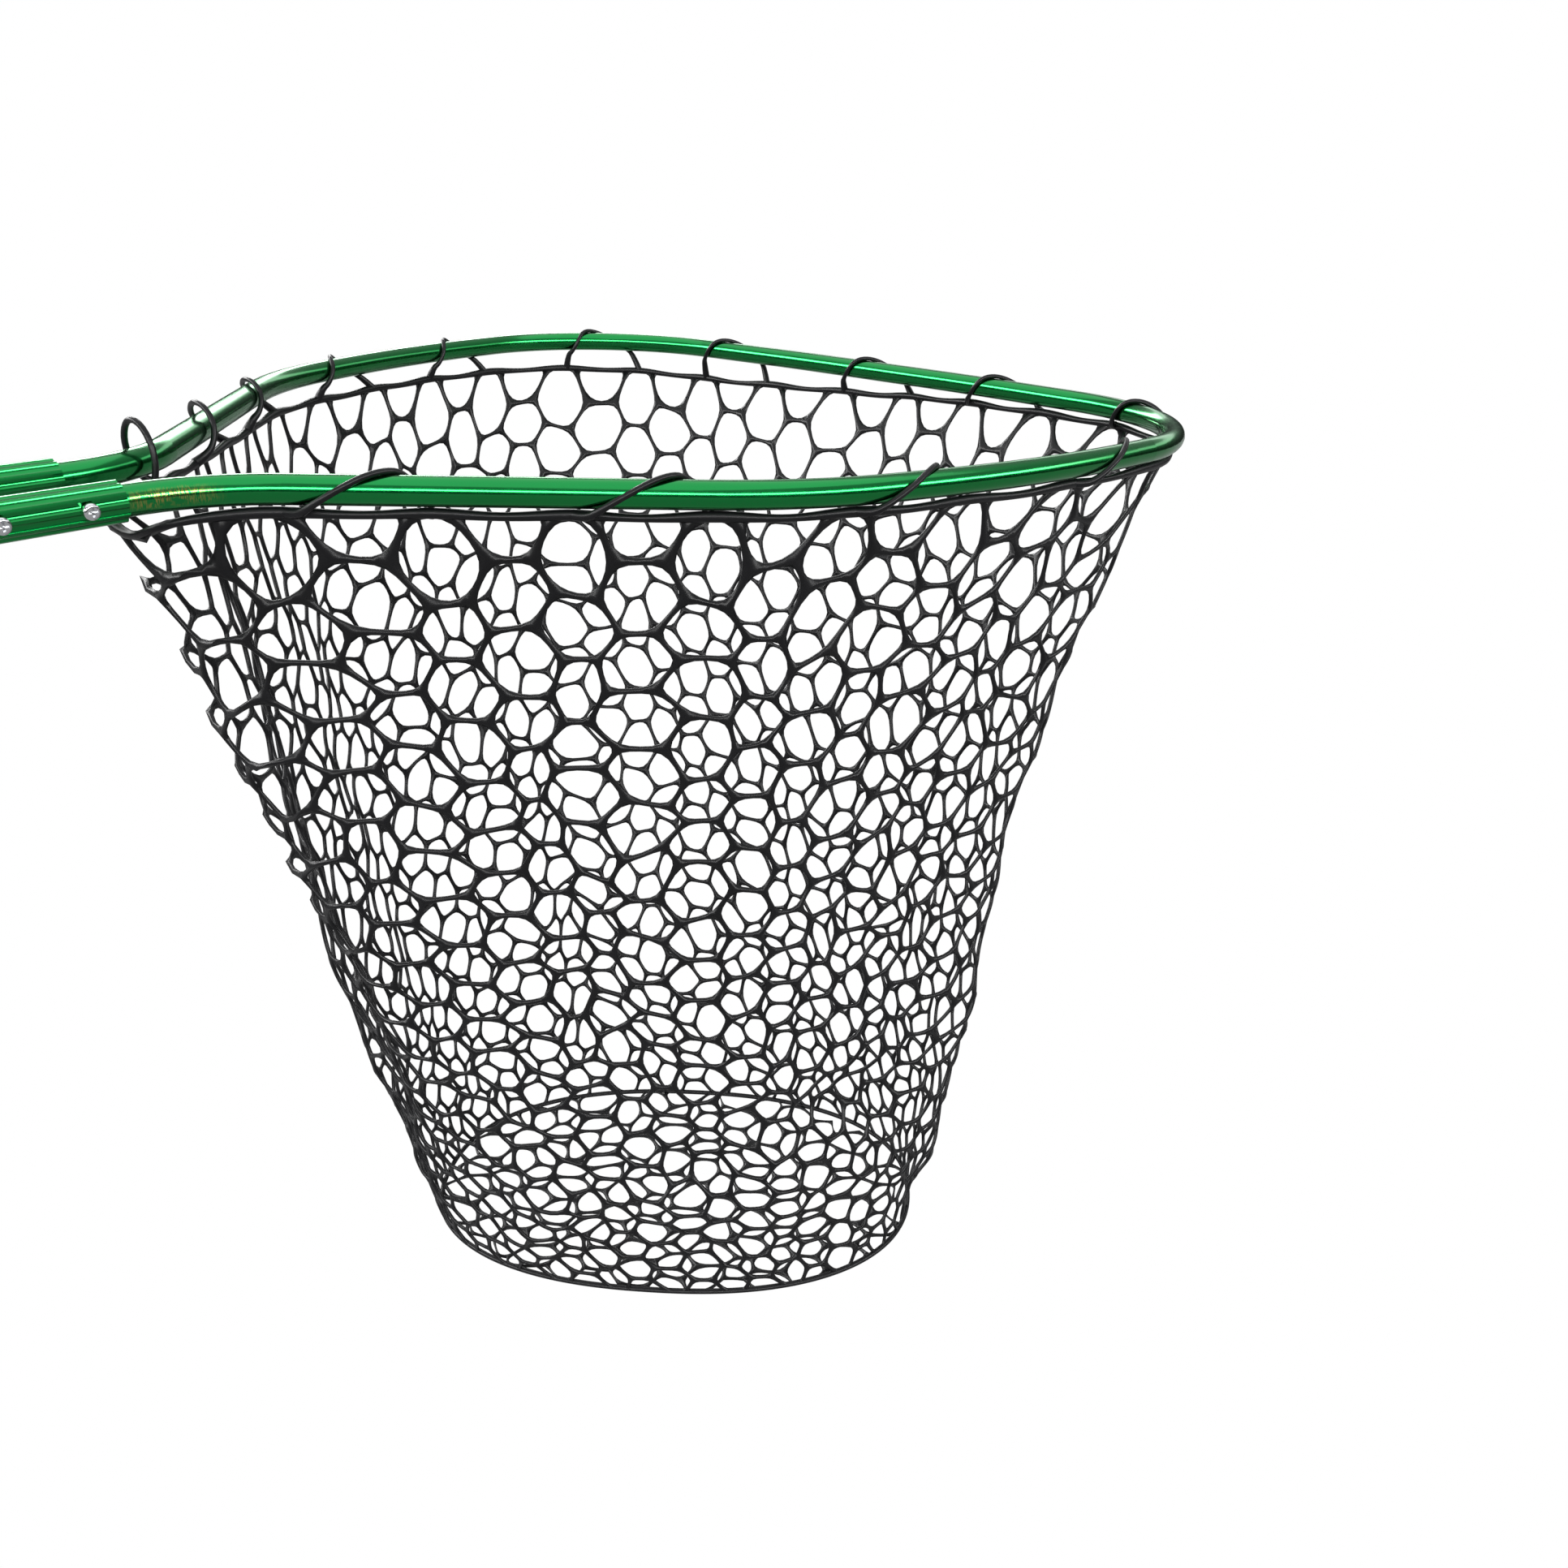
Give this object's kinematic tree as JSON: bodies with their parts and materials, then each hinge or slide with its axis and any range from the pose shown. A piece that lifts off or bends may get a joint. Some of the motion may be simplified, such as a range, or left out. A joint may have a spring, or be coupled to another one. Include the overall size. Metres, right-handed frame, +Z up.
{
  "type": "landing net",
  "caption": "Hoop landing net with a bent-tube frame, a fluted twin-barrel yoke sliding on a tube handle, a snap-button lock and a moulded rubber mesh bag.",
  "frame": {"origin": "middle of the grip, on the handle's axis", "axes": "+X from the grip to the front of the hoop, +Y across the hoop to its left side, +Z up out of the hoop's mouth; the bag hangs towards -Z"},
  "size_m": [1.2313, 0.5332, 0.5638],
  "materials": {
    "green_anodised": "bright emerald anodised tube with long reflections",
    "screw_steel": "bright plated",
    "button_steel": "satin stainless",
    "black_plastic": "moulded black nylon",
    "grip_foam": "dense closed-cell foam grip",
    "moulded_rubber": "slightly glossy moulded black rubber"
  },
  "bodies": {
    "handle": {"handle_tube": "green_anodised", "handle_front_plug": "black_plastic", "button_spring": "button_steel", "grip": "grip_foam", "grip_ring": "black_plastic", "end_cap": "black_plastic", "cap_rivet": "button_steel"},
    "snap_button": {"snap_button": "button_steel"},
    "hoop_frame": {"hoop_tube": "green_anodised", "yoke": "green_anodised", "yoke_screws": "screw_steel", "barrel_plugs": "black_plastic", "front_bushing": "black_plastic", "rear_bushing": "black_plastic", "net_bag": "moulded_rubber", "net_loops": "moulded_rubber"}
  },
  "joints": [
    {"name": "hoop_slide", "type": "slide", "parent": "handle", "child": "hoop_frame", "axis": [-1, 0, 0], "range_m": [0, 0.355], "deforming": ["snap_button"]},
    {"name": "button_press", "type": "slide", "parent": "handle", "child": "snap_button", "axis": [0, 0, -1], "range_m": [0, 0.006], "stiffness_N_per_m": 1500, "springref_m": -0.003, "deforming": ["button_spring"]}
  ]
}
